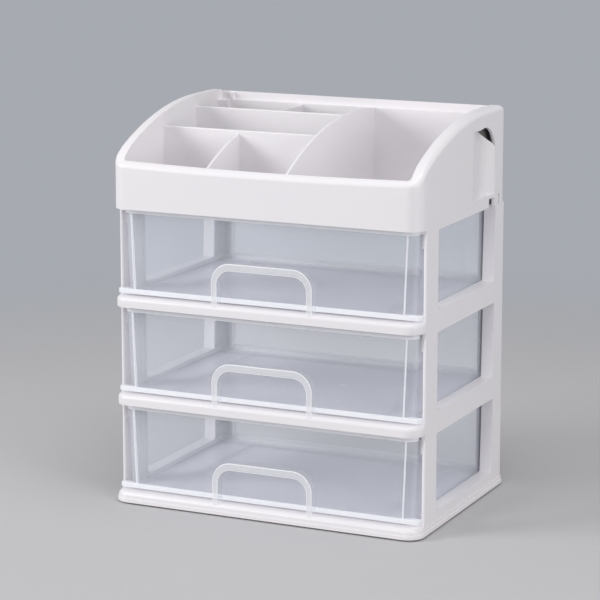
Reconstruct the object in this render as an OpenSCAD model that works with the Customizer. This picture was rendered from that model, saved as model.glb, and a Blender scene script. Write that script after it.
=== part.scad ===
// Three-drawer desktop organizer: three stacked frames, each with its own
// clear drawer, and an open tray with six compartments on top.
// The front faces -Y. The origin is under the middle of the body, on the
// surface that the feet stand on.

/* [Body] */
// Width of the body over its side skins
body_w = 280; // [250:2:320]
// Depth of the body, front to back
body_d = 195; // [190:1:220]
// Height from one shelf to the next
layer_pitch = 85; // [70:1:110]
// Height that the pads lift the base by
foot_lift = 1.5; // [1:0.5:3]
// Plan radius of the front corners
front_corner_r = 13; // [10:0.5:14]
// Plan radius of the rear corners
rear_corner_r = 4; // [3:0.5:5]
// Thickness of the outer skin
skin = 2.5; // [2:0.1:2.8]
// Thickness of inner walls and dividers
inner_wall = 2; // [1.5:0.1:2.4]

/* [Frame] */
// Height of the front lip, which is also the height of the shelf
lip_h = 9; // [8:0.5:10]
// Radius of the rounded top edge of the front lip
lip_round = 3.5; // [2:0.5:4]
// Height of the side and rear rails above the shelf plane
rail_h = 14.5; // [13.5:0.5:18]
// How far the side and rear skins hang below the shelf plane
skirt_drop = 4.5; // [3:0.5:6]
// Depth of the sills, from the outside inwards
sill_depth = 11; // [10:0.5:12]
// Distance from the body's front to the front edge of the front posts
post_setback = 15.5; // [14.5:0.5:17]
// Width of the front posts
front_post_w = 26; // [22:1:30]
// Width of the rear posts
rear_post_w = 23.5; // [20:0.5:28]
// How far the rear posts lean back from bottom to top
post_lean = 2; // [1:0.5:3]
// Extra spread of the base skirt on each side
base_flare = 1.5; // [0.5:0.5:2]

/* [Drawer] */
// Distance from the lip's front to the drawer's front wall
drawer_setback = 9.5; // [8.5:0.5:11]
// Thickness of the drawer's walls
drawer_wall = 2; // [1.5:0.1:2.4]
// Height of the drawer's walls
drawer_h = 72.5; // [60:0.5:73]
// Plan radius of the drawer's front corners
drawer_corner_r = 9.5; // [6:0.5:12]
// Height of the band along the foot of the drawer's front
band_h = 4.7; // [3:0.1:6]
// Height of the strip along the drawer's top edge
rim_h = 3; // [2:0.5:4]

/* [Pull] */
// Width of the arched pull
pull_w = 92; // [70:1:120]
// Height of the pull's top above the drawer's lower edge
pull_h = 35.5; // [28:0.5:45]
// Width of the pull's legs
pull_leg = 5; // [4:0.5:8]
// Height of the pull's top bar
pull_bar = 6.3; // [4:0.1:8]
// Outer radius of the pull's upper corners
pull_corner_r = 17.5; // [12:0.5:20]

/* [Tray] */
// Height of the tray from its skirt to its rear rim
tray_h = 84.5; // [78:0.5:95]
// Width of the tray's double side walls
tray_rim = 10; // [9:0.5:12]
// Thickness of the tray's front wall
tray_front = 5; // [4:0.5:6]
// Thickness of the tray's rear wall with its hollow
tray_rear = 9; // [8:0.5:10]
// Height of the tray's front edge above its skirt
tray_front_h = 44; // [38:0.5:48]
// Radius of the arched side rims
tray_arc_r = 295; // [280:1:320]
// Radius that rounds the side rims down into the front corners
tray_nose_r = 15; // [8:0.5:20]
// How far the front edge sags in the middle
tray_sag = 2; // [1:0.5:4]
// Radius of the tray's rear top edge
tray_rear_edge_r = 9; // [4:0.5:9.5]
// Where the arched rims meet the level rear part, from the middle
arc_end_y = 50; // [40:1:60]

/* [Hidden] */
$fn = 96;
cut = 1;                      // how far a cut runs past a face
fuse = 0.5;                   // how far joined pieces run into each other
run_gap = 0.3;                // gap under a drawer's runners
slip = 1;                     // gap between a drawer and what it passes

half_w = body_w / 2;
half_d = body_d / 2;
shelf_t = 2.4;
shelf_under = lip_h - shelf_t;
sill_t = 2;
sill_x = half_w - sill_depth;         // inner face of the side sills
sill_y = half_d - sill_depth;         // inner face of the rear sill
post_y = -half_d + post_setback;      // front edge of the front posts
window_y = post_y + front_post_w;     // front edge of the side windows
seat_h = layer_pitch - skirt_drop;    // top of the posts, where the next layer sits
rear_band = 2;                        // rear rail stands proud of the posts
rear_return = 20.5;                   // width of the rear posts seen from behind
post_taper = 1;                       // how much narrower the rear posts are at the top
rear_post_top_y = half_d - rear_post_w + post_taper;
rear_post_foot_y = rear_post_top_y - post_lean - post_taper;
reveal = 8;                           // depth of the window reveals
tongue_h = 7;
tongue_root = 12;
tongue_t = 2;
tongue_gap = 0.3;

front_tongue = [post_y + 3, 17];      // start and length along Y
rear_tongue = [half_d - 17, 9];

drawer_front_y = -half_d + drawer_setback;
drawer_wide = half_w - 6.3;           // half width across the drawer's front
drawer_narrow = sill_x - 1.5;         // half width between the sills
drawer_rear_y = sill_y - slip;
shoulder_gap = 2.5;                   // between the wide front part and the posts' flanges
shoulder_y = window_y - skin - shoulder_gap;
shoulder_r = 3;
drawer_rear_r = 6;
drawer_low = lip_h + slip;            // underside of the drawer
drawer_floor_t = 2.1;
rim_proud = 0.6;
band_proud = 1;
band_x = half_w - 1;
runner_x = 96;
runner_w = 3;

pull_y = -half_d - 0.2;               // front face of the pull
lip_clear = 0.6;                      // gap between the pull's feet and the lip

foot_r = 9;
foot_x = half_w - 27;                 // places of the pads
foot_y = half_d - 24;
peg_r = 3;
peg_h = 4;
boss_r = 10.5;

tray_z = 3 * layer_pitch;             // shelf plane that the tray stands in for
tray_low = tray_z - skirt_drop;
tray_top = tray_low + tray_h;
tray_front_low = tray_z - 1;
tray_lip_z = tray_low + tray_front_h;
arc_z = tray_top - tray_arc_r;        // height of the side arcs' centre
bin_floor = tray_z + 4.5;
bin_floor_t = 2.5;
bin_x = half_w - tray_rim;
bin_front = -half_d + tray_front;
bin_rear = half_d - tray_rear;
tray_corner_r = 8;
bin_front_r = 6;
bin_rear_r = 4;
hollow_front_r = 2;
rear_ledge_z = tray_top - 9;
rear_ledge = 4.5;                     // depth of the ledge inside the rear rim
front_ramp_r = 9;                     // where the front edge rises to the rims
sag_half = bin_x - front_ramp_r;
sag_r = (sag_half * sag_half + tray_sag * tray_sag) / (2 * tray_sag);
nose_y = -half_d + tray_nose_r;       // centre of the rounding at the front
nose_z = arc_z + sqrt(pow(tray_arc_r - tray_nose_r, 2) - pow(arc_end_y - nose_y, 2));
nose_scale = tray_arc_r / (tray_arc_r - tray_nose_r);
corner_boss = [10, 6];                // width and depth of the bosses in the rear corners
fin_t = 2.5;                          // fins that close the ledge's ends
fin_z = tray_top - 3;

divider_t = 2.5;
front_divider_y = -19;                // transverse divider behind the front bins
front_divider_z = tray_top - 19.7;
rear_divider_y = 42;                  // transverse divider before the rear bins
rear_divider_z = tray_top - 9.8;
main_divider_x = 20;                  // long divider beside the open bay
main_divider_drop = 6;
small_divider_x = -58.7;              // between the two front bins
small_divider_drop = 13.5;
back_divider_x = -49.6;               // between the two rear bins

grip_y = 47;                          // centre of the hand-grip's arch
grip_z = tray_top - 39.5;
grip_r = 25;
grip_start = 22;                      // front end of the arch
grip_fall = 2;                        // how far the arch drops to that end
panel_y = 26;                         // centre of the panel's rounded top
panel_z = tray_top - 82.3;
panel_r = 66;
scoop_y = 55;
scoop_r = 60;
scoop_depth = 6.5;
scoop_low = tray_z + 6;
notch = [58, 13, tray_z + 3];         // start, length, top of the skirt notch
slit = [80.5, 2.5, tray_z + 5];       // start, length, top of the rear slit

// ---- shared shapes ----

// An outline seen from above, with its own front and rear corner radii
module outline(half, front, rear, front_r, rear_r) {
    middle = (front + rear) / 2;
    translate([-half, front + front_r])
        square([2 * half, rear - front - front_r - rear_r]);
    translate([-half + front_r, front])
        square([2 * (half - front_r), middle - front + fuse]);
    translate([-half + rear_r, middle])
        square([2 * (half - rear_r), rear - middle]);
    for (side = [-1, 1]) {
        translate([side * (half - front_r), front + front_r]) circle(r = front_r);
        translate([side * (half - rear_r), rear - rear_r]) circle(r = rear_r);
    }
}

// The body's own outline, drawn in by an inset
module body_outline(inset, rear_r = rear_corner_r) {
    outline(half_w - inset, -half_d + inset, half_d - inset,
            front_corner_r - inset, rear_r - min(inset, rear_r - 1));
}

// A side profile, drawn in Y and Z, extruded along X
module along_x(start, length) {
    translate([start, 0, 0]) rotate([90, 0, 90]) linear_extrude(length) children();
}

// A front profile, drawn in X and Z, extruded along Y
module along_y(start, length) {
    translate([0, start + length, 0]) rotate([90, 0, 0]) linear_extrude(length) children();
}

module both_sides() {
    children();
    mirror([1, 0, 0]) children();
}

module span(x, y, z) {
    translate([x[0], y[0], z[0]]) cube([x[1] - x[0], y[1] - y[0], z[1] - z[0]]);
}

// ---- stacking frames ----

// Section through the front lip, drawn outwards from a corner's centre
module lip_section() {
    difference() {
        union() {
            square([front_corner_r - lip_round, lip_h]);
            square([front_corner_r, lip_h - lip_round]);
            translate([front_corner_r - lip_round, lip_h - lip_round])
                circle(r = lip_round);
        }
        translate([-cut, -cut])
            square([front_corner_r - skin + cut, shelf_under + cut]);
    }
}

module front_lip() {
    corner_x = half_w - front_corner_r;
    corner_y = -half_d + front_corner_r;
    translate([corner_x, corner_y, 0]) rotate([90, 0, -90])
        linear_extrude(2 * corner_x) lip_section();
    both_sides() translate([corner_x, corner_y, 0]) {
        rotate([0, 0, -90]) rotate_extrude(angle = 90) lip_section();
        translate([0, post_y + fuse - corner_y, 0]) rotate([90, 0, 0])
            linear_extrude(post_y + fuse - corner_y) lip_section();
    }
}

module shelf() {
    translate([0, 0, shelf_under]) linear_extrude(shelf_t) {
        translate([-half_w + skin - fuse, -half_d + front_corner_r - fuse])
            square([2 * (half_w - skin + fuse), window_y + half_d - front_corner_r]);
        translate([-sill_x - fuse, -half_d + front_corner_r])
            square([2 * (sill_x + fuse), sill_y + fuse + half_d - front_corner_r]);
    }
}

// Skin, sill and inner wall of the side and rear rails, open underneath
module rails(low) {
    translate([0, 0, low]) linear_extrude(rail_h - low) difference() {
        body_outline(0);
        body_outline(skin);
        translate([-half_w - cut, -half_d - cut])
            square([body_w + 2 * cut, post_setback + cut]);
    }
    translate([0, 0, rail_h - sill_t]) linear_extrude(sill_t) difference() {
        body_outline(skin / 2);
        translate([-sill_x, -half_d]) square([2 * sill_x, sill_y + half_d]);
        translate([-half_w, -half_d]) square([body_w, window_y - skin + half_d]);
    }
    wall_x = sill_x + inner_wall;
    wall_y = sill_y + inner_wall;
    translate([0, 0, shelf_under]) linear_extrude(rail_h - shelf_under) difference() {
        translate([-wall_x, window_y - skin])
            square([2 * wall_x, wall_y - window_y + skin]);
        translate([-sill_x, -half_d]) square([2 * sill_x, sill_y + half_d]);
    }
}

// Tongue on top of a post, which plugs into the hollow rail above
module tongue(place) {
    face = half_w - skin;
    along_y(place[0], place[1]) polygon([
        [face + fuse, seat_h - tongue_root], [face + fuse, seat_h],
        [face - tongue_gap, seat_h], [face - tongue_gap, seat_h + tongue_h],
        [face - tongue_gap - tongue_t, seat_h + tongue_h],
        [face - tongue_gap - tongue_t, seat_h - tongue_root]
    ]);
}

module front_post() {
    nose = skin / 2;
    span([half_w - skin, half_w], [post_y + nose, window_y], [shelf_under, seat_h]);
    translate([half_w - nose, post_y + nose, 0]) cylinder(r = nose, h = seat_h);
    span([half_w - reveal - skin, half_w - fuse], [window_y - skin, window_y],
         [shelf_under, seat_h]);
    tongue(front_tongue);
}

// A leaning strip between two distances from the post's own edges
module leaning(foot_start, top_start, foot_end, top_end) {
    polygon([
        [foot_start, rail_h - sill_t], [top_start, seat_h],
        [top_end, seat_h], [foot_end, rail_h - sill_t]
    ]);
}

module rear_post() {
    foot_end = half_d - rear_band;
    intersection() {
        translate([0, 0, rail_h - sill_t]) linear_extrude(seat_h) body_outline(0);
        union() {
            along_x(half_w - skin, skin)
                leaning(rear_post_foot_y, rear_post_top_y, foot_end, half_d);
            along_x(half_w - reveal - skin, reveal + skin - fuse)
                leaning(rear_post_foot_y, rear_post_top_y,
                        rear_post_foot_y + skin, rear_post_top_y + skin);
            along_x(half_w - rear_return, rear_return - fuse)
                leaning(foot_end - skin, half_d - skin, foot_end, half_d);
            along_x(half_w - rear_return, skin)
                leaning(foot_end - reveal, half_d - reveal, foot_end - fuse, half_d - fuse);
        }
    }
    tongue(rear_tongue);
}

module frame(low) {
    front_lip();
    shelf();
    rails(low);
    both_sides() {
        front_post();
        rear_post();
    }
}

module upper_layer() {
    color("whitesmoke") translate([0, 0, foot_lift + 2 * layer_pitch]) frame(-skirt_drop);
}

module middle_layer() {
    color("whitesmoke") translate([0, 0, foot_lift + layer_pitch]) frame(-skirt_drop);
}

// The base adds a skirt that spreads a little, and bosses for the pads
module base_layer() {
    color("whitesmoke") translate([0, 0, foot_lift]) {
        frame(0);
        difference() {
            for (step = [0, 1]) linear_extrude(base_flare * 2 * (2 - step))
                body_outline(-base_flare * (step + 1) / 2);
            translate([0, 0, -cut]) linear_extrude(lip_h) body_outline(skin / 2);
        }
        for (x = [-foot_x, foot_x], y = [-foot_y, foot_y]) translate([x, y, 0])
            difference() {
                cylinder(r = boss_r, h = shelf_under + fuse);
                translate([0, 0, -cut]) cylinder(r = peg_r, h = peg_h + cut + fuse);
            }
    }
}

// ---- drawers ----

module drawer_outline(inset) {
    outline(drawer_wide - inset, drawer_front_y + inset, shoulder_y - inset,
            drawer_corner_r - inset, shoulder_r);
    outline(drawer_narrow - inset, drawer_front_y + drawer_corner_r, drawer_rear_y - inset,
            shoulder_r, drawer_rear_r - inset);
}

module drawer(level) {
    base = drawer_low;
    color("lavender", 0.4) translate([0, 0, foot_lift + level * layer_pitch]) {
        difference() {
            union() {
                translate([0, 0, base]) linear_extrude(drawer_h) drawer_outline(0);
                translate([0, 0, base + drawer_h - rim_h]) linear_extrude(rim_h)
                    drawer_outline(-rim_proud);
                span([-band_x, band_x], [drawer_front_y - band_proud, post_y - slip],
                     [base, base + band_h]);
            }
            translate([0, 0, base + drawer_floor_t]) linear_extrude(drawer_h)
                drawer_outline(drawer_wall);
        }
        both_sides() span([runner_x, runner_x + runner_w],
                          [drawer_front_y + drawer_corner_r, drawer_rear_y - drawer_rear_r],
                          [lip_h + run_gap, base + fuse]);
    }
}

module drawer_upper() { drawer(2); }
module drawer_middle() { drawer(1); }
module drawer_lower() { drawer(0); }

// ---- arched pulls ----

// An arch, open below, drawn in X and Z
module arch(half, top, corner, low) {
    translate([-half, low]) square([2 * half, top - corner - low]);
    translate([-half + corner, low]) square([2 * (half - corner), top - low]);
    for (side = [-1, 1])
        translate([side * (half - corner), top - corner]) circle(r = corner);
}

module pull(level) {
    half = pull_w / 2;
    top = drawer_low + pull_h;
    low = lip_h - lip_round / 2;
    lip_y = -half_d + lip_round;
    color("white", 0.6) translate([0, 0, foot_lift + level * layer_pitch]) difference() {
        along_y(pull_y, drawer_front_y - pull_y) difference() {
            arch(half, top, pull_corner_r, low);
            arch(half - pull_leg, top - pull_bar, pull_corner_r - pull_leg, low - cut);
        }
        // room for the drawer's band
        span([-half - cut, half + cut],
             [drawer_front_y - band_proud, drawer_front_y + cut],
             [low - cut, drawer_low + band_h]);
        // room for the lip's rounded edge and the shelf behind it
        translate([-half - cut, lip_y, lip_h - lip_round]) rotate([0, 90, 0])
            cylinder(r = lip_round + lip_clear, h = pull_w + 2 * cut);
        span([-half - cut, half + cut], [lip_y, drawer_front_y + cut],
             [low - cut, lip_h + lip_clear]);
    }
}

module pull_upper() { pull(2); }
module pull_middle() { pull(1); }
module pull_lower() { pull(0); }

// ---- pads under the base ----

module foot(x, y) {
    color("gainsboro") translate([x, y, 0]) {
        cylinder(r = foot_r, h = foot_lift);
        cylinder(r = peg_r - 0.1, h = foot_lift + peg_h);
    }
}

module foot_front_left() { foot(-foot_x, -foot_y); }
module foot_front_right() { foot(foot_x, -foot_y); }
module foot_rear_left() { foot(-foot_x, foot_y); }
module foot_rear_right() { foot(foot_x, foot_y); }

// ---- open tray ----

// Everything under the arched side rims, lowered by a drop, in Y and Z
module rim_profile(drop) {
    intersection() {
        translate([arc_end_y, arc_z]) circle(r = tray_arc_r - drop, $fn = 360);
        translate([-half_d - cut, 0]) square([arc_end_y + half_d + cut, tray_top]);
    }
    translate([arc_end_y - cut, 0]) square([half_d - arc_end_y + 2 * cut, tray_top - drop]);
}

module under_rims(drop) {
    along_x(-half_w - cut, body_w + 2 * cut) rim_profile(drop);
}

// What the rounding at the rims' front ends takes away, in Y and Z
module nose_waste() {
    difference() {
        translate([-half_d - cut, nose_z]) square([tray_nose_r + cut, tray_nose_r * 2]);
        translate([nose_y, nose_z]) circle(r = tray_nose_r);
        polygon([
            [nose_y, nose_z],
            [arc_end_y + (nose_y - arc_end_y) * nose_scale,
             arc_z + (nose_z - arc_z) * nose_scale],
            [nose_y + cut, tray_top], [nose_y + cut, nose_z]
        ]);
    }
}

// What is cut from the top of the front wall, in X and Z
module front_waste() {
    outline(bin_x, tray_lip_z, tray_top + tray_nose_r, front_ramp_r, 1);
    intersection() {
        translate([0, tray_lip_z - tray_sag + sag_r]) circle(r = sag_r, $fn = 1440);
        translate([-sag_half, tray_lip_z - tray_sag]) square([2 * sag_half, tray_nose_r]);
    }
}

// The scoop beside the hand-grip, and its back when grown by a thickness
module scoop(grow) {
    translate([half_w - scoop_depth + scoop_r, scoop_y, scoop_low - grow])
        cylinder(r = scoop_r + grow, h = grip_z + grip_r - scoop_low + grow, $fn = 180);
}

// The arch over the hand-grip, drawn in Y and Z
module grip_arch() {
    translate([grip_y, grip_z]) circle(r = grip_r);
    polygon([
        [grip_start, grip_z], [grip_start, grip_z + grip_r - grip_fall],
        [grip_y, grip_z + grip_r], [grip_y + grip_r, grip_z]
    ]);
}

module panel_disc() {
    translate([panel_y, panel_z]) circle(r = panel_r);
}

// The scooped panel under the arch, with a rounded top
module grip_panel(grow) {
    intersection() {
        panel_disc();
        translate([0, scoop_low - grow])
            square([grip_y + grip_r + grow, tray_top - scoop_low]);
    }
}

// What the rounding of the rear top edge takes away, in Y and Z
module rear_edge_waste() {
    translate([half_d - tray_rear_edge_r, tray_top - tray_rear_edge_r]) difference() {
        square(tray_rear_edge_r + cut);
        circle(r = tray_rear_edge_r);
    }
}

module tray_block() {
    difference() {
        intersection() {
            translate([0, 0, tray_low]) linear_extrude(tray_h)
                body_outline(0, tray_corner_r);
            under_rims(0);
        }
        along_x(-half_w - cut, body_w + 2 * cut) rear_edge_waste();
    }
}

// Hollow between the outer skin and the bins' own walls
module wall_hollow() {
    intersection() {
        translate([0, 0, tray_low - cut]) linear_extrude(tray_h) difference() {
            outline(half_w - skin, post_y - slip, half_d - skin,
                    hollow_front_r, tray_corner_r - skin);
            translate([-bin_x - inner_wall, -half_d])
                square([2 * (bin_x + inner_wall), half_d + bin_rear + inner_wall]);
        }
        under_rims(skin);
        union() {
            span([-half_w, half_w], [-half_d, half_d], [0, rear_ledge_z - skin]);
            span([-half_w, half_w], [-half_d, bin_rear - tray_rim], [0, tray_top]);
        }
    }
}

module tray_dividers() {
    left = -bin_x - fuse;
    low = bin_floor - fuse;
    t = divider_t / 2;
    intersection() {
        union() {
            span([left, main_divider_x], [front_divider_y - t, front_divider_y + t],
                 [low, front_divider_z]);
            span([left, main_divider_x], [rear_divider_y - t, rear_divider_y + t],
                 [low, rear_divider_z]);
            span([back_divider_x - t, back_divider_x + t],
                 [rear_divider_y, bin_rear + fuse], [low, rear_divider_z]);
            intersection() {
                span([small_divider_x - t, small_divider_x + t],
                     [bin_front - fuse, front_divider_y], [low, tray_top]);
                under_rims(small_divider_drop);
            }
            intersection() {
                span([main_divider_x - t, main_divider_x + t],
                     [bin_front - fuse, bin_rear + fuse], [low, tray_top]);
                under_rims(main_divider_drop);
            }
        }
        tray_block();
    }
}

module organizer_tray() {
    color("whitesmoke") translate([0, 0, foot_lift]) {
        difference() {
            tray_block();
            // front edge, a little higher than the side skirts
            span([-half_w - cut, half_w + cut], [-half_d - cut, post_y],
                 [tray_low - cut, tray_front_low]);
            // lowered top of the front wall, and the rims' rounded front ends
            along_y(-half_d - cut, tray_front + 2 * cut) front_waste();
            along_x(-half_w - cut, body_w + 2 * cut) nose_waste();
            // bins
            translate([0, 0, bin_floor]) linear_extrude(tray_h)
                outline(bin_x, bin_front, bin_rear, bin_front_r, bin_rear_r);
            span([-bin_x, bin_x], [bin_rear - cut, bin_rear + rear_ledge],
                 [rear_ledge_z, tray_top + cut]);
            // room over the upper drawer
            translate([0, 0, tray_low - cut])
                linear_extrude(bin_floor - bin_floor_t - tray_low + cut)
                outline(bin_x + inner_wall + fuse, -half_d + skin,
                        bin_rear + inner_wall + fuse, front_corner_r - skin, 3);
            difference() {
                wall_hollow();
                both_sides() intersection() {
                    scoop(inner_wall);
                    along_x(bin_x, tray_rim + cut) grip_panel(inner_wall);
                }
            }
            both_sides() {
                intersection() {
                    scoop(0);
                    along_x(bin_x, tray_rim + cut) grip_panel(0);
                }
                along_x(bin_x + inner_wall, tray_rim) difference() {
                    grip_arch();
                    panel_disc();
                }
                span([half_w - skin - cut, half_w + cut],
                     [notch[0], notch[0] + notch[1]], [tray_low - cut, notch[2]]);
                span([half_w - skin - cut, half_w + cut],
                     [slit[0], slit[0] + slit[1]], [tray_low - cut, slit[2]]);
            }
        }
        tray_dividers();
        // square bosses in the rear corners, and the fins at the ledge's ends
        both_sides() {
            span([bin_x - corner_boss[0], bin_x + fuse],
                 [bin_rear - corner_boss[1], bin_rear + fuse],
                 [bin_floor - fuse, rear_ledge_z]);
            span([bin_x - corner_boss[0] - fin_t, bin_x - corner_boss[0]],
                 [bin_rear, bin_rear + rear_ledge + fuse], [rear_ledge_z - fuse, fin_z]);
        }
    }
}

organizer_tray();
upper_layer();
middle_layer();
base_layer();
drawer_upper();
drawer_middle();
drawer_lower();
pull_upper();
pull_middle();
pull_lower();
foot_front_left();
foot_front_right();
foot_rear_left();
foot_rear_right();
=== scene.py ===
import math

import bmesh
import bpy
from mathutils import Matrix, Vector


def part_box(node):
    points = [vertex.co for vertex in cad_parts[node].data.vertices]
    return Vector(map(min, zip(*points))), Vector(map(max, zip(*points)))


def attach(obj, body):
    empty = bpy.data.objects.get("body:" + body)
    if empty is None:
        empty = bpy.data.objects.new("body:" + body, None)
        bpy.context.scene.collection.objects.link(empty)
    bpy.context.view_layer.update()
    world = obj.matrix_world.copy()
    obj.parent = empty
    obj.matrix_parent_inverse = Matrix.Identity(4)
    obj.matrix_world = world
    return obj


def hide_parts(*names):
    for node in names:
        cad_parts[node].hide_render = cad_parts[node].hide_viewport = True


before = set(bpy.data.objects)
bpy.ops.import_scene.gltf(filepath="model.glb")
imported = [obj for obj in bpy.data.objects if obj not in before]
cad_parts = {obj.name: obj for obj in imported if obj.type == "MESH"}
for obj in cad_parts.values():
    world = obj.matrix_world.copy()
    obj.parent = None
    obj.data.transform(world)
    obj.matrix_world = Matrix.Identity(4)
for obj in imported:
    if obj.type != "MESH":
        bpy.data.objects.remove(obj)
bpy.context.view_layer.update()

# ---- Camera ----
# The photograph looks at the organizer from its right front corner, a little
# from above, with a long lens and the uprights kept parallel.
camera_data = bpy.data.cameras.new("camera")
camera = bpy.data.objects.new("camera", camera_data)
bpy.context.scene.collection.objects.link(camera)
bpy.context.scene.camera = camera
camera_data.lens = 148.8
camera_data.sensor_width = 36
camera_data.shift_y = -0.1
camera_data.clip_end = 50
camera.location = (0.8715, -1.8909, 0.6066)
pitch, heading = 10.435, 24.99
camera.rotation_euler = (math.radians(90 - pitch), 0, math.radians(heading))


# ---- Stacked frames ----
# Each level is a shelf with a rounded lip and four open posts, moulded in
# satin white plastic. The solids have the shape, and their edges are eased
# here as a mould leaves them.
class Socket:
    """A shader output that can be used in sums and products."""

    def __init__(self, finish, source):
        self.finish = finish
        self.source = source

    def math(self, operation, first, second):
        nodes = self.finish.node("ShaderNodeMath", {"operation": operation}, {0: first, 1: second})
        return nodes[0]

    def __add__(self, other):
        return self.math("ADD", self, other)

    def __sub__(self, other):
        return self.math("SUBTRACT", self, other)

    def __rsub__(self, other):
        return self.math("SUBTRACT", other, self)

    def __mul__(self, other):
        return self.math("MULTIPLY", self, other)

    __radd__ = __add__
    __rmul__ = __mul__


class Finish:
    """A material with a Principled shader, built up node by node."""

    def __init__(self, name, **constants):
        self.material = bpy.data.materials.new(name)
        self.material.use_nodes = True
        self.tree = self.material.node_tree
        self.shader = self.tree.nodes["Principled BSDF"]
        self.place = self.node("ShaderNodeTexCoord", {}, {})[3]  # its Object output
        for socket, value in constants.items():
            self.shader.inputs[socket.replace("_", " ")].default_value = value

    def connect(self, target, value):
        if isinstance(value, Socket):
            self.tree.links.new(value.source, target)
        else:
            target.default_value = value

    def node(self, kind, settings, sockets):
        """Adds a node and gives its outputs, in the node's own order."""
        made = self.tree.nodes.new(kind)
        for setting, value in settings.items():
            setattr(made, setting, value)
        for socket, value in sockets.items():
            self.connect(made.inputs[socket], value)
        return [Socket(self, output) for output in made.outputs]

    def noise(self, scale, detail=3):
        return self.node("ShaderNodeTexNoise", {},
                         {"Vector": self.place, "Scale": scale, "Detail": detail})[0]

    def blend(self, factor, first, second):
        """Mixes two colours; 6, 7 and 2 are the Mix node's colour sockets."""
        return self.node("ShaderNodeMix", {"data_type": "RGBA"},
                         {0: factor, 6: first, 7: second})[2]

    def bump(self, height, strength, distance):
        return self.node("ShaderNodeBump", {},
                         {"Strength": strength, "Distance": distance, "Height": height})[0]

    def set(self, socket, value):
        self.connect(self.shader.inputs[socket], value)


def moulded_white(name):
    """Satin white plastic with the faint grain and waviness of a moulding."""
    finish = Finish(name, IOR=1.5, Specular_IOR_Level=0.5)
    drift = finish.noise(9)
    grain = finish.noise(1400, 2)
    finish.set("Base Color", finish.blend(drift, (0.83, 0.815, 0.84, 1), (0.86, 0.83, 0.85, 1)))
    finish.set("Roughness", finish.noise(60) * 0.12 + 0.3)
    finish.set("Normal", finish.bump(grain + finish.noise(26) * 3, 0.12, 0.0002))
    return finish.material


frame_white = moulded_white("frame_white")
for layer in ("upper_layer", "middle_layer", "base_layer"):
    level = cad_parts[layer]
    level.data.materials.clear()
    level.data.materials.append(frame_white)
    weld = level.modifiers.new("merged", "WELD")
    weld.merge_threshold = 0.00001
    planar = level.modifiers.new("planar", "DECIMATE")
    planar.decimate_type = "DISSOLVE"
    planar.angle_limit = math.radians(1)
    eased = level.modifiers.new("eased", "BEVEL")
    eased.width = 0.0006
    eased.segments = 3
    eased.limit_method = "ANGLE"
    eased.angle_limit = math.radians(40)
    eased.miter_outer = "MITER_ARC"
    eased.harden_normals = True


# ---- Pads ----
# Four soft round pads, pressed into bosses under the base, lift it off the
# table. Their solids stay as they are and get a dull rubber finish.
pad_rubber = Finish("pad_rubber", IOR=1.5)
pad_rubber.set("Base Color", pad_rubber.blend(pad_rubber.noise(40), (0.36, 0.36, 0.37, 1),
                                              (0.44, 0.44, 0.44, 1)))
pad_rubber.set("Roughness", pad_rubber.noise(200) * 0.2 + 0.7)
pad_rubber.set("Normal", pad_rubber.bump(pad_rubber.noise(900), 0.2, 0.0002))
for pad in ("foot_front_left", "foot_front_right", "foot_rear_left", "foot_rear_right"):
    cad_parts[pad].data.materials.clear()
    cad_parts[pad].data.materials.append(pad_rubber.material)


# ---- Clear drawers ----
# Three thin-walled boxes of clear plastic, each moulded in one piece with a
# wide front that wraps the posts, a strip round the top and a band below.
# Their eased edges, the top strip, two lines at the front corners and the band
# are painted bright as a highlight. One is modelled from a cube, and the
# others are copies of it.
def box(name, low, high):
    """A cube at its place and size, with the place in its mesh."""
    bpy.ops.object.select_all(action="DESELECT")
    middle = [(a + b) / 2 for a, b in zip(low, high)]
    bpy.ops.mesh.primitive_cube_add(size=1, location=middle)
    piece = bpy.context.object
    piece.name = name
    piece.scale = [b - a for a, b in zip(low, high)]
    bpy.ops.object.transform_apply(location=True, rotation=True, scale=True)
    return piece


def pick(piece, kind, test):
    """Goes into edit mode with just the faces, edges or vertices that pass."""
    bpy.context.view_layer.objects.active = piece
    bpy.ops.object.mode_set(mode="EDIT")
    bpy.ops.mesh.select_mode(type=kind)
    bpy.ops.mesh.select_all(action="DESELECT")
    form = bmesh.from_edit_mesh(piece.data)
    parts = {"FACE": form.faces, "EDGE": form.edges, "VERT": form.verts}[kind]
    for part in parts:
        part.select_set(test(part))
    form.select_flush_mode()
    bmesh.update_edit_mesh(piece.data)


def near(value, other):
    return abs(value - other) < 0.00002


def runs_along(edge, axis, **places):
    """Whether an edge runs along an axis at these places; x counts on both sides."""
    first, last = (end.co for end in edge.verts)
    if near(getattr(first, axis), getattr(last, axis)):
        return False
    for name, place in places.items():
        for end in (first, last):
            value = getattr(end, name)
            if not near(abs(value) if name == "x" else value, place):
                return False
    return True


def round_edges(piece, test, radius, segments):
    pick(piece, "EDGE", test)
    bpy.ops.mesh.bevel(offset=radius, segments=segments, affect="EDGES", clamp_overlap=False)
    bpy.ops.object.mode_set(mode="OBJECT")


def apply(piece, kind, **settings):
    """Adds a modifier and applies it."""
    bpy.ops.object.select_all(action="DESELECT")
    piece.select_set(True)
    bpy.context.view_layer.objects.active = piece
    modifier = piece.modifiers.new(kind.lower(), kind)
    for setting, value in settings.items():
        setattr(modifier, setting, value)
    bpy.ops.object.modifier_apply(modifier=modifier.name)


def carve(piece, tool, operation="DIFFERENCE"):
    """Cuts, joins or keeps what a second shape covers, which is then used up."""
    apply(piece, "BOOLEAN", operation=operation, object=tool, solver="EXACT")
    bpy.data.objects.remove(tool)


def join(piece, *others):
    """Makes closed shells that run into each other one piece."""
    bpy.ops.object.select_all(action="DESELECT")
    for part in (piece, *others):
        part.select_set(True)
    bpy.context.view_layer.objects.active = piece
    bpy.ops.object.join()


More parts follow.
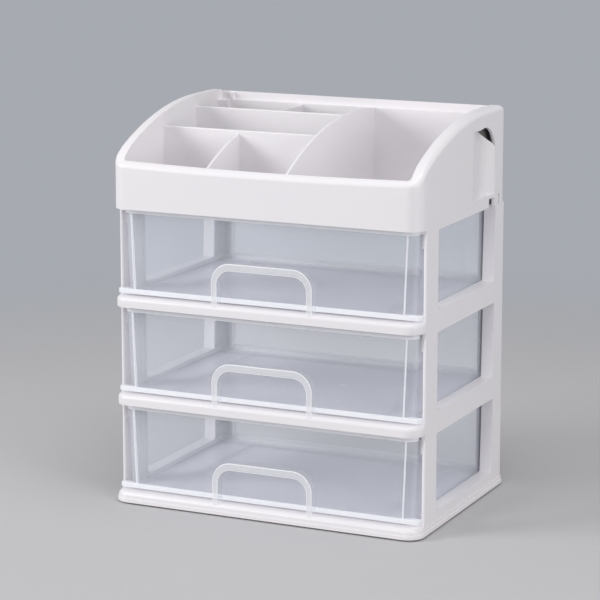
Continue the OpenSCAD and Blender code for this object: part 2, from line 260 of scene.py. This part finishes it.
def paint(piece, slot, test):
    """Gives the faces whose middle and normal pass another of the piece's materials."""
    for face in piece.data.polygons:
        if test(face.center, face.normal):
            face.material_index = slot


def smooth(piece, degrees=35):
    bpy.ops.object.select_all(action="DESELECT")
    piece.select_set(True)
    bpy.context.view_layer.objects.active = piece
    bpy.ops.object.shade_smooth_by_angle(angle=math.radians(degrees))
    apply(piece, "WEIGHTED_NORMAL", keep_sharp=True, weight=80)


def copy_up(piece, name, rise):
    """A copy with its own mesh, lifted within that mesh."""
    twin = piece.copy()
    twin.data = piece.data.copy()
    twin.name = name
    bpy.context.scene.collection.objects.link(twin)
    bpy.ops.object.select_all(action="DESELECT")
    twin.select_set(True)
    bpy.context.view_layer.objects.active = twin
    twin.location.z = rise
    bpy.ops.object.transform_apply(location=True, rotation=False, scale=False)
    return twin


def goes_round(edge, axis, place):
    """Whether an edge goes round the flat face that lies at this place and faces down the axis."""
    on_face = all(near(getattr(end.co, axis), place) for end in edge.verts)
    return on_face and not all(getattr(face.normal, axis) < -0.9 for face in edge.link_faces)


def stands_at(edge, y):
    """Whether an edge stands upright at this depth."""
    first, last = (end.co for end in edge.verts)
    return near(first.y, y) and near(last.y, y) and not near(first.z, last.z)


def seen(finish, amount):
    """An opacity that lets most of the light through, as clear plastic does, without a dark shadow."""
    is_shadow_ray = finish.node("ShaderNodeLightPath", {}, {})[1]
    return amount * (1 - is_shadow_ray * 0.8)


drawer_low, drawer_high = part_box("drawer_lower")
runner_drop = 0.0007
wall = 0.002
strip_height = 0.003
strip_proud = 0.0006
wide = 0.1337
wide_foot = 0.1309
narrow = 0.1275
splay = 0.001
front = -0.088
shoulder = -0.061
rear = drawer_high.y - strip_proud
underside = drawer_low.z + runner_drop
strip_low = drawer_high.z - strip_height
front_round = 0.0095
shoulder_round = 0.0025
rear_round = 0.006
floor_round = 0.0015
drawer_easing = 0.0004
corner_highlight = wide - front_round
corner_highlight_width = 0.0011

drawer = box("drawer_lower_shell", (-narrow, shoulder + splay, underside), (narrow, rear, strip_low))
pick(drawer, "FACE", lambda face: face.normal.y < -0.9)
bpy.ops.mesh.extrude_region_move(TRANSFORM_OT_translate={"value": (0, -splay, 0)})
bpy.ops.transform.resize(value=(wide / narrow, 1, 1), center_override=(0, 0, 0))
bpy.ops.mesh.extrude_region_move(TRANSFORM_OT_translate={"value": (0, front - shoulder, 0)})
pick(drawer, "FACE", lambda face: face.normal.z > 0.9)
bpy.ops.mesh.delete(type="FACE")
pick(drawer, "VERT", lambda corner: near(corner.co.z, underside) and corner.co.y < shoulder + splay / 2)
bpy.ops.transform.resize(value=(wide_foot / wide, 1, 1), center_override=(0, 0, 0))
bpy.ops.object.mode_set(mode="OBJECT")
round_edges(drawer, lambda edge: stands_at(edge, front), front_round, 12)
round_edges(drawer, lambda edge: stands_at(edge, shoulder), shoulder_round, 5)
round_edges(drawer, lambda edge: stands_at(edge, rear), rear_round, 8)
round_edges(drawer, lambda edge: goes_round(edge, "z", underside), floor_round, 4)
pick(drawer, "EDGE", lambda edge: edge.is_boundary)
bpy.ops.mesh.extrude_region_move()
bpy.ops.transform.resize(value=(1 + strip_proud / wide, 1 + strip_proud / -front, 1),
                         center_override=(0, 0, 0))
bpy.ops.mesh.extrude_region_move(TRANSFORM_OT_translate={"value": (0, 0, strip_height)})
bpy.ops.object.mode_set(mode="OBJECT")
apply(drawer, "SOLIDIFY", thickness=wall, offset=-1, use_quality_normals=True)

clear = Finish("drawer_clear", IOR=1.5, Base_Color=(0.87, 0.91, 1, 1))
grazing = clear.node("ShaderNodeLayerWeight", {}, {"Blend": 0.25})[1]
clear.set("Alpha", seen(clear, grazing * 0.3 + (clear.noise(12) * 0.04 + 0.11)))
clear.set("Roughness", clear.noise(90) * 0.06 + 0.04)
clear.set("Normal", clear.bump(clear.noise(40), 0.08, 0.0004))
# Painted highlight: a near-opaque pale white that stands in for the light caught by the edges of the clear
# plastic.
edge_highlight = Finish("drawer_edge_highlight", IOR=1.5, Base_Color=(0.90, 0.91, 0.95, 1))
edge_highlight.set("Alpha", seen(edge_highlight, edge_highlight.noise(120) * 0.15 + 0.8))
edge_highlight.set("Roughness", edge_highlight.noise(200) * 0.1 + 0.12)
milky = Finish("drawer_floor", IOR=1.5, Base_Color=(0.88, 0.89, 0.97, 1))
milky.set("Alpha", seen(milky, milky.noise(14) * 0.08 + 0.5))
milky.set("Roughness", milky.noise(90) * 0.1 + 0.2)
for finish in (clear, edge_highlight, milky):
    drawer.data.materials.append(finish.material)
highlight_slot, milky_slot = 1, 2
apply(drawer, "BEVEL", width=drawer_easing, segments=2, limit_method="ANGLE",
      angle_limit=math.radians(50), material=highlight_slot)
# The top strip and two upright lines at the front corners get the painted highlight too.
paint(drawer, highlight_slot, lambda middle, normal: middle.z > strip_low)
paint(drawer, highlight_slot, lambda middle, normal: middle.y < front + wall and abs(normal.z) < 0.5
      and 0 < abs(middle.x) - corner_highlight < corner_highlight_width)
paint(drawer, milky_slot, lambda middle, normal: middle.z < underside + wall + drawer_easing / 2
      and abs(normal.z) > 0.5)

beyond = 0.01
band_low = underside + 0.0002
band_high = underside + 0.0047
band_front = front - 0.001
band_rear = -0.083
band_overlap = 0.001
band_round = 0.0035
band_easing = 0.0008
cavity_x = wide_foot - band_overlap
cavity_y = front + band_overlap
band = box("band", (drawer_low.x, band_front, band_low), (drawer_high.x, band_rear, band_high))
round_edges(band, lambda edge: runs_along(edge, "z", x=drawer_high.x, y=band_front), band_round, 6)
cavity = box("cavity", (-cavity_x, cavity_y, underside - beyond), (cavity_x, 0, underside + 2 * beyond))
round_edges(cavity, lambda edge: runs_along(edge, "z", x=cavity_x, y=cavity_y),
            front_round - band_overlap, 9)
carve(band, cavity)
for finish in (clear, edge_highlight):
    band.data.materials.append(finish.material)
# The whole band is painted with the edge highlight, and so are its eased edges.
paint(band, highlight_slot, lambda middle, normal: True)
apply(band, "BEVEL", width=band_easing, segments=3, limit_method="ANGLE",
      angle_limit=math.radians(50), material=highlight_slot)
join(drawer, band)

runner_x = 0.0975
runner_half = 0.0015
runner_front, runner_rear = -0.0785, 0.0795
for side in (-1, 1):
    runner = box("runner", (side * runner_x - runner_half, runner_front, drawer_low.z),
                 (side * runner_x + runner_half, runner_rear, underside + wall / 2))
    runner.data.materials.append(milky.material)
    join(drawer, runner)
smooth(drawer)


# ---- Arched pulls ----
# A frosted arch stands on the front of each drawer; its thin edges are painted
# bright as a highlight where they catch the light. Its feet reach just over the rounded edge of the lip.
pull_low, pull_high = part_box("pull_lower")
leg = 0.005
bar = 0.0063
bend = 0.0175
toe = 0.0028
over_lip_z = pull_low.z + 0.00235
over_lip_round = 0.0015
pull_round = 0.0006
gap_x = pull_high.x - leg
gap_z = pull_high.z - bar
past_pull = pull_high.x + beyond

pull = box("pull_lower_arch", pull_low, pull_high)
round_edges(pull, lambda edge: runs_along(edge, "y", x=pull_high.x, z=pull_high.z), bend, 16)
gap = box("gap", (-gap_x, pull_low.y - beyond, pull_low.z - beyond), (gap_x, pull_high.y + beyond, gap_z))
round_edges(gap, lambda edge: runs_along(edge, "y", x=gap_x, z=gap_z), bend - leg, 16)
carve(pull, gap)
over_lip = box("over_lip", (-past_pull, pull_low.y + toe, pull_low.z - beyond),
               (past_pull, front + beyond, over_lip_z))
round_edges(over_lip, lambda edge: runs_along(edge, "x", y=pull_low.y + toe, z=over_lip_z),
            over_lip_round, 4)
carve(pull, over_lip)
carve(pull, box("over_band", (-past_pull, band_front, pull_low.z - beyond),
                (past_pull, front + beyond, band_high)))

frosted = Finish("pull_frosted", IOR=1.5, Base_Color=(0.84, 0.85, 0.88, 1))
frosted.set("Alpha", seen(frosted, frosted.noise(300) * 0.1 + 0.55))
frosted.set("Roughness", frosted.noise(500) * 0.2 + 0.3)
# Painted highlight: a near-opaque pale white on the arch's eased edges, standing in for the light they
# catch.
pull_highlight = Finish("pull_edge_highlight", IOR=1.5, Base_Color=(0.95, 0.95, 0.97, 1))
pull_highlight.set("Alpha", seen(pull_highlight, pull_highlight.noise(120) * 0.1 + 0.9))
pull_highlight.set("Roughness", pull_highlight.noise(200) * 0.1 + 0.15)
inner_face = Finish("pull_sides", IOR=1.5, Base_Color=(0.84, 0.85, 0.9, 1))
inner_face.set("Alpha", seen(inner_face, inner_face.noise(80) * 0.06 + 0.14))
inner_face.set("Roughness", inner_face.noise(300) * 0.1 + 0.15)
for finish in (frosted, pull_highlight, inner_face):
    pull.data.materials.append(finish.material)
frosted_slot, pull_highlight_slot, sides_slot = 0, 1, 2
paint(pull, sides_slot, lambda middle, normal: normal.y > -0.5)
round_edges(pull, lambda edge: goes_round(edge, "y", pull_low.y), pull_round, 3)
paint(pull, pull_highlight_slot, lambda middle, normal: -0.99 < normal.y < -0.1)
paint(pull, frosted_slot, lambda middle, normal: normal.y < -0.99)
smooth(pull)

for level in ("upper", "middle", "lower"):
    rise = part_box(f"drawer_{level}")[0].z - drawer_low.z
    for first, node in ((drawer, f"drawer_{level}"), (pull, f"pull_{level}")):
        piece = first if level == "lower" else copy_up(first, f"{node}_piece", rise)
        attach(piece, f"{level}_drawer")
        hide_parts(node)


# ---- Tray ----
# The open tray is one white moulding on top of the upper layer. Its double
# side walls have broad soft rims that sweep down to the front. Its outline is
# extruded up, and each ring of its rounded top is laid along the rims' curve.
tray_low, tray_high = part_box("organizer_tray")
tray_front, tray_rear = tray_low.y, tray_high.y
front_corner = 0.013
rear_corner = 0.008
arc_end = 0.05
arc_radius = 0.295
arc_z = tray_high.z - arc_radius
nose_start = -0.075
nose_curve = 14.77
rear_start = 0.086
rear_fall = 0.0047
rim_round = 0.0045
rim = 0.010
sag = 0.002
front_slope = 0.2
shell = 0.0025
bite = 0.001
bin_floor = tray_low.z + 0.009
bin_x = tray_high.x - rim
bin_front = tray_front + 0.005
bin_rear = tray_rear - 0.009


def rim_height(place):
    """Height of the rims: level at the rear, arched at the sides, steeper at the front."""
    reach = max(arc_end - max(place.y, nose_start), 0)
    rise = math.sqrt(arc_radius ** 2 - reach ** 2)
    past = max(nose_start - max(place.y, bin_front), 0)
    dip = sag * min(past / (nose_start - bin_front), 1) * max(1 - (place.x / bin_x) ** 2, 0)
    behind = max(place.y - rear_start, 0) / (tray_rear - rear_start)
    over_front = max(bin_front - place.y, 0)
    arched = arc_z + rise - past * reach / rise - nose_curve * past ** 2
    return arched - dip - over_front * front_slope - rear_fall * behind ** 2


def faces_out(place):
    """The level direction in which the tray's outline faces at a place."""
    if place.y < 0:
        corner = front_corner
        depth = min(place.y - tray_front - corner, 0)
    else:
        corner = rear_corner
        depth = max(place.y - tray_rear + corner, 0)
    width = max(abs(place.x) - tray_high.x + corner, 0)
    return Vector((math.copysign(width, place.x), depth, 0)).normalized()


def lay_ring(piece, inset, drop, within=None):
    """Extrudes the open edge into a new ring, drawn in and laid under the rims' curve."""
    bpy.ops.mesh.extrude_region_move()
    form = bmesh.from_edit_mesh(piece.data)
    for corner in form.verts:
        if corner.select:
            place = corner.co - faces_out(corner.co) * inset
            if within:
                place.x = max(-within[0], min(within[0], place.x))
                place.y = max(within[1], min(within[2], place.y))
            corner.co = (place.x, place.y, rim_height(place) - drop)
    bmesh.update_edit_mesh(piece.data)


outline_z = tray_low.z + 0.025
tray = box("tray_moulding", tray_low, (tray_high.x, tray_high.y, outline_z))
round_edges(tray, lambda edge: runs_along(edge, "z", x=tray_high.x, y=tray_front), front_corner, 14)
round_edges(tray, lambda edge: runs_along(edge, "z", x=tray_high.x, y=tray_rear), rear_corner, 10)
pick(tray, "FACE", lambda face: face.normal.z > 0.9)
bpy.ops.mesh.delete(type="FACE")
slice_width, slice_depth = 0.01, 0.006
for slice_x in range(-12, 13):
    bpy.ops.mesh.select_all(action="SELECT")
    bpy.ops.mesh.bisect(plane_co=(slice_x * slice_width, 0, 0), plane_no=(1, 0, 0))
for slice_y in range(-13, 15):
    bpy.ops.mesh.select_all(action="SELECT")
    bpy.ops.mesh.bisect(plane_co=(0, slice_y * slice_depth, 0), plane_no=(0, 1, 0))
bpy.ops.object.mode_set(mode="OBJECT")
pick(tray, "EDGE", lambda edge: edge.is_boundary)
drawn_in = 0
for turn in range(0, 91, 15):
    inset = rim_round * (1 - math.cos(math.radians(turn)))
    lay_ring(tray, inset - drawn_in, rim_round * (1 - math.sin(math.radians(turn))))
    drawn_in = inset
lay_ring(tray, 0, 0, (bin_x - shell, bin_front + shell, bin_rear - shell))
bpy.ops.mesh.remove_doubles(threshold=0.00001)
bpy.ops.mesh.extrude_region_move()
bpy.ops.transform.resize(value=(1, 1, 0), center_override=(0, 0, bin_floor + bite / 2))
bpy.ops.mesh.edge_face_add()
bpy.ops.mesh.select_all(action="SELECT")
bpy.ops.mesh.normals_make_consistent(inside=False)
bpy.ops.object.mode_set(mode="OBJECT")

bin_front_round, bin_rear_round, bin_floor_round = 0.003, 0.004, 0.002
ledge_z = tray_high.z - 0.009
ledge_rear = bin_rear + 0.0045
clearance_rear = -0.082
clearance_z = tray_low.z + 0.0035
bins = box("bins", (-bin_x, bin_front, bin_floor), (bin_x, bin_rear, tray_high.z + 2 * beyond))
round_edges(bins, lambda edge: runs_along(edge, "z", x=bin_x, y=bin_front), bin_front_round, 5)
round_edges(bins, lambda edge: runs_along(edge, "z", x=bin_x, y=bin_rear), bin_rear_round, 6)
round_edges(bins, lambda edge: goes_round(edge, "z", bin_floor), bin_floor_round, 3)
carve(tray, bins)
carve(tray, box("ledge", (-bin_x, bin_rear - bite, ledge_z), (bin_x, ledge_rear, tray_high.z + beyond)))
carve(tray, box("front_clearance", (-tray_high.x - beyond, tray_front - bite, tray_low.z - bite),
                (tray_high.x + beyond, clearance_rear, clearance_z)))
underneath = box("underneath", (-bin_x - shell, tray_front + shell, tray_low.z - bite),
                 (bin_x + shell, bin_rear + shell, bin_floor - shell))
round_edges(underneath, lambda edge: runs_along(edge, "z", x=bin_x + shell, y=tray_front + shell),
            front_corner - shell, 8)
carve(tray, underneath)


def shelf_wall(name, low, high, under=None):
    """A thin divider with a rounded top, cut to the rims' curve where it follows them."""
    divider = box(name, low, high)
    if under:
        carve(divider, under, "INTERSECT")
    round_edges(divider, lambda edge: max(end.co.z for end in edge.verts) > low[2] + 3 * beyond
                and any(face.normal.z > 0.3 for face in edge.link_faces)
                and any(abs(face.normal.z) < 0.1 for face in edge.link_faces), divider_round, 3)
    carve(tray, divider, "UNION")


def disc(name, place, radius, width, steps=360):
    """A cylinder that lies along X."""
    bpy.ops.object.select_all(action="DESELECT")
    bpy.ops.mesh.primitive_cylinder_add(vertices=steps, radius=radius, depth=width, location=place,
                                        rotation=(0, math.pi / 2, 0))
    piece = bpy.context.object
    piece.name = name
    bpy.ops.object.transform_apply(location=True, rotation=True, scale=True)
    return piece


def under_rims(name, x, distance):
    """A cylinder whose top runs at this distance below the rims."""
    return disc(name, (x, arc_end, arc_z), arc_radius - distance, 10 * beyond, 720)


half = 0.00125
divider_round = 0.001
foot = bin_floor - bite
left = -bin_x - bite
front_end, rear_end = bin_front - bite, bin_rear + bite
front_divider, front_divider_z = -0.019, tray_high.z - 0.0197
rear_divider, rear_divider_z = 0.042, tray_high.z - 0.0098
main_divider, main_below_rims = 0.020, 0.006
front_small, small_below_rims = -0.0587, 0.0135
rear_small = -0.0496
shelf_wall("front_divider", (left, front_divider - half, foot),
           (main_divider, front_divider + half, front_divider_z))
shelf_wall("rear_divider", (left, rear_divider - half, foot),
           (main_divider, rear_divider + half, rear_divider_z))
shelf_wall("rear_small_divider", (rear_small - half, rear_divider, foot),
           (rear_small + half, rear_end, rear_divider_z))
shelf_wall("front_small_divider", (front_small - half, front_end, foot),
           (front_small + half, front_divider, tray_high.z),
           under_rims("under_small", front_small, small_below_rims))
shelf_wall("main_divider", (main_divider - half, front_end, foot),
           (main_divider + half, rear_end, tray_high.z - main_below_rims),
           under_rims("under_main", main_divider, main_below_rims))


def pocket(name, start, end, first, last, low, high):
    """A box in a side wall, between two distances out, along and up."""
    return box(name, (min(start, end), first, low), (max(start, end), last, high))


def panel(side, clearance=0):
    """The round-topped panel that a side wall has below its grip."""
    place = (side * (tray_high.x - shell), panel_y, panel_z)
    return disc("panel", place, panel_radius + clearance, 5 * beyond)


panel_y, panel_z, panel_radius = 0.026, tray_high.z - 0.0823, 0.066
back_wall = bin_x + 0.0022
socket_wall = bin_x + 0.003
grip_y, grip_z, grip_radius = 0.047, tray_high.z - 0.0395, 0.025
hollow_front, hollow_rear, hollow_z = 0.016, 0.078, tray_high.z - 0.012
tail_start, tail_fall = 0.0205, 0.002
crescent_clearance, scoop_clearance = 0.0003, 0.001
scoop_x, scoop_low = tray_high.x - 0.0065, tray_low.z + 0.0105
scoop_start, scoop_deepest, scoop_end = 0.022, 0.054, 0.0703
scoop_feather = 0.0001
scoop_round = 0.008
below = tray_low.z - bite
rear_socket_front, rear_socket_rear, rear_socket_z = 0.050, 0.090, tray_low.z + 0.0095
front_socket_front, front_socket_rear, front_socket_z = -0.080, -0.061, tray_low.z + 0.008
notch_front, notch_rear, notch_z = 0.058, 0.071, tray_low.z + 0.0075
slit_front, slit_rear, slit_z = 0.0805, 0.083, tray_low.z + 0.0092
boss_width, boss_depth, boss_z = 0.010, 0.006, ledge_z - 0.0002
fin_width, fin_depth, fin_z = 0.0025, 0.005, tray_high.z - 0.003
hair = 0.0002
for side in (-1, 1):
    skin = side * (tray_high.x - shell)
    inner = side * back_wall
    outer = side * (tray_high.x + 2 * bite)
    hollow = pocket("wall_hollow", inner, skin, hollow_front, hollow_rear, grip_z, hollow_z)
    carve(hollow, panel(side))
    carve(tray, hollow)
    crescent = disc("crescent", ((inner + outer) / 2, grip_y, grip_z), grip_radius, abs(outer - inner))
    tail = pocket("tail", inner, outer, tail_start, grip_y, grip_z, grip_z + grip_radius)
    pick(tail, "VERT", lambda corner: near(corner.co.y, tail_start) and corner.co.z > grip_z + beyond)
    bpy.ops.transform.translate(value=(0, 0, -tail_fall))
    bpy.ops.object.mode_set(mode="OBJECT")
    carve(crescent, tail, "UNION")
    carve(crescent, panel(side, crescent_clearance))
    scoop = pocket("scoop", side * scoop_x, outer, scoop_start, scoop_end, scoop_low, tray_high.z)
    pick(scoop, "FACE", lambda face: True)
    bpy.ops.mesh.bisect(plane_co=(0, scoop_deepest, 0), plane_no=(0, 1, 0))
    bpy.ops.object.mode_set(mode="OBJECT")
    for corner in scoop.data.vertices:
        if near(abs(corner.co.x), scoop_x) and not near(corner.co.y, scoop_deepest):
            corner.co.x = side * (tray_high.x + scoop_feather)
    round_edges(scoop, lambda edge: runs_along(edge, "z", x=scoop_x, y=scoop_deepest), scoop_round, 8)
    carve(scoop, panel(side, scoop_clearance), "INTERSECT")
    carve(scoop, crescent, "UNION")
    carve(tray, scoop)
    socket = side * socket_wall
    into_socket = skin - side * bite
    carve(tray, pocket("rear_socket", socket, skin, rear_socket_front, rear_socket_rear,
                       below, rear_socket_z))
    carve(tray, pocket("front_socket", socket, skin, front_socket_front, front_socket_rear,
                       below, front_socket_z))
    carve(tray, pocket("notch", into_socket, outer, notch_front, notch_rear, below, notch_z))
    carve(tray, pocket("slit", into_socket, outer, slit_front, slit_rear, below, slit_z))
    boss = side * (bin_x - boss_width)
    fin = boss - side * fin_width
    carve(tray, pocket("boss", boss, side * (bin_x + bite), bin_rear - boss_depth, bin_rear + bite,
                       bin_floor - bite, boss_z), "UNION")
    carve(tray, pocket("fin", fin, boss + side * 1.5 * hair, bin_rear - hair, bin_rear + fin_depth,
                       ledge_z - bite, fin_z), "UNION")


def inside_grip(middle, normal):
    """Whether a face lies in the space behind the hand-grip that is painted dark as shade."""
    within = hollow_front - bite / 2 < middle.y < hollow_rear + bite / 2
    high = middle.z > grip_z - beyond / 2
    back = near(abs(middle.x), back_wall) and abs(normal.x) > 0.9
    ceiling = back_wall < abs(middle.x) < tray_high.x - shell and normal.z < -0.5
    return within and high and (back or ceiling)


# Painted shade: the white moulding's faces behind the hand-grip get a dark colour that stands in for the
# shadow in the hollow.
tray_painted_shade = Finish("tray_painted_shade", IOR=1.5)
tray_painted_shade.set("Base Color", tray_painted_shade.blend(tray_painted_shade.noise(9), (0.15, 0.135, 0.135, 1),
                                              (0.19, 0.17, 0.17, 1)))
tray_painted_shade.set("Roughness", tray_painted_shade.noise(60) * 0.12 + 0.5)
for finish in (moulded_white("tray_white"), tray_painted_shade.material):
    tray.data.materials.append(finish)
painted_shade_slot = 1
paint(tray, painted_shade_slot, inside_grip)
smooth(tray)
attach(tray, "cabinet")
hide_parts("organizer_tray")


# ---- Studio ----
# A plain pale floor that fades into a plain grey backdrop, a large soft lamp
# at the left, a weaker one at the right and one above.
bpy.context.scene.view_settings.view_transform = "Standard"
bpy.ops.object.select_all(action="DESELECT")
bpy.ops.mesh.primitive_circle_add(vertices=64, radius=3, fill_type="NGON")
floor = bpy.context.object
floor.name = "floor"
floor_paint = Finish("floor_paint", IOR=1.5, Specular_IOR_Level=0.2)
floor_paint.set("Base Color", floor_paint.blend(floor_paint.noise(2), (0.55, 0.545, 0.555, 1),
                                                (0.57, 0.565, 0.575, 1)))
floor_paint.set("Roughness", floor_paint.noise(3) * 0.1 + 0.7)
distance = floor_paint.node("ShaderNodeVectorMath", {"operation": "LENGTH"}, {0: floor_paint.place})[1]
fade = floor_paint.node("ShaderNodeMapRange", {"interpolation_type": "SMOOTHSTEP"},
                        {"Value": distance, "From Min": 0.45, "From Max": 1.1, "To Min": 1, "To Max": 0})[0]
floor_paint.set("Alpha", fade)
floor.data.materials.append(floor_paint.material)

world = bpy.data.worlds.new("studio")
bpy.context.scene.world = world
world.use_nodes = True
nodes = world.node_tree.nodes
links = world.node_tree.links
ambient = nodes["Background"]
ambient.inputs["Color"].default_value = (0.98, 0.98, 1, 1)
ambient.inputs["Strength"].default_value = 0.37
shown = nodes.new("ShaderNodeBackground")
shown.inputs["Color"].default_value = (0.385, 0.405, 0.44, 1)
shown.inputs["Strength"].default_value = 1
rays = nodes.new("ShaderNodeLightPath")
visible = nodes.new("ShaderNodeMath")
visible.operation = "ADD"
visible_too = nodes.new("ShaderNodeMath")
visible_too.operation = "ADD"
visible_too.use_clamp = True
choice = nodes.new("ShaderNodeMixShader")
links.new(rays.outputs["Is Camera Ray"], visible.inputs[0])
links.new(rays.outputs["Is Glossy Ray"], visible.inputs[1])
links.new(visible.outputs["Value"], visible_too.inputs[0])
links.new(rays.outputs["Is Transmission Ray"], visible_too.inputs[1])
links.new(visible_too.outputs["Value"], choice.inputs["Fac"])
links.new(ambient.outputs["Background"], choice.inputs[1])
links.new(shown.outputs["Background"], choice.inputs[2])
links.new(choice.outputs["Shader"], nodes["World Output"].inputs["Surface"])


def softbox(name, place, aim, size, power):
    lamp_data = bpy.data.lights.new(name, "AREA")
    lamp_data.shape = "SQUARE"
    lamp_data.size = size
    lamp_data.energy = power
    lamp = bpy.data.objects.new(name, lamp_data)
    bpy.context.scene.collection.objects.link(lamp)
    lamp.location = place
    lamp.rotation_euler = (Vector(aim) - Vector(place)).to_track_quat("-Z", "Y").to_euler()


softbox("key", place=(-1.7, -1.4, 0.95), aim=(0, 0, 0.15), size=1.1, power=32)
softbox("fill", place=(1.9, -1.0, 0.6), aim=(0, 0, 0.15), size=1.0, power=15)
softbox("top", place=(0.35, -0.3, 1.75), aim=(0, 0, 0.2), size=1.0, power=9.5)
